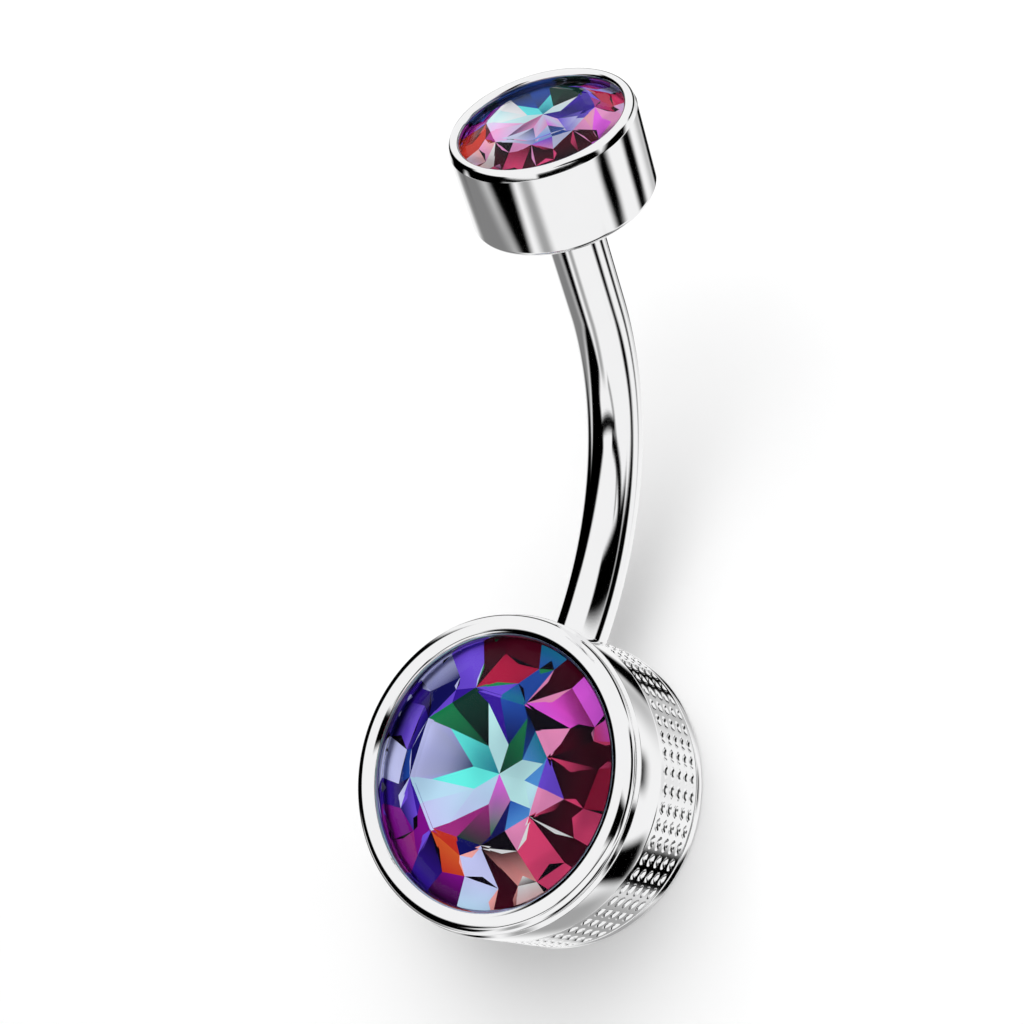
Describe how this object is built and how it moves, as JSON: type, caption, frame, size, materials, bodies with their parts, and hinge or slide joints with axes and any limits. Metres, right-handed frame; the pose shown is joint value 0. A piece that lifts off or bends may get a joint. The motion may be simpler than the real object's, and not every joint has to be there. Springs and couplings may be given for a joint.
{
  "type": "navel ring",
  "caption": "Curved navel ring: a bar with a large round crystal in a dimpled steel setting at one end and a small round crystal in a screw-on cup at the other.",
  "frame": {"origin": "centre of the lower setting's flat back, on which the ring lies", "axes": "+Z out of the back through the lower stone, +Y from the lower setting towards the bar and the top end, +X across the ring"},
  "size_m": [0.0092, 0.0231, 0.0126],
  "materials": {
    "polished_steel": "mirror polish",
    "crystal": "cut glass with a colour-shifting foil back"
  },
  "bodies": {
    "lower_end": {"barbell": "polished_steel", "lower_crystal": "crystal"},
    "top_end": {"top_setting": "polished_steel", "top_crystal": "crystal"}
  },
  "joints": [
    {"name": "top_lift", "type": "slide", "parent": "lower_end", "child": "top_end", "axis": [0, 0.5388, 0.8425], "range_m": [0, 0.004]}
  ]
}
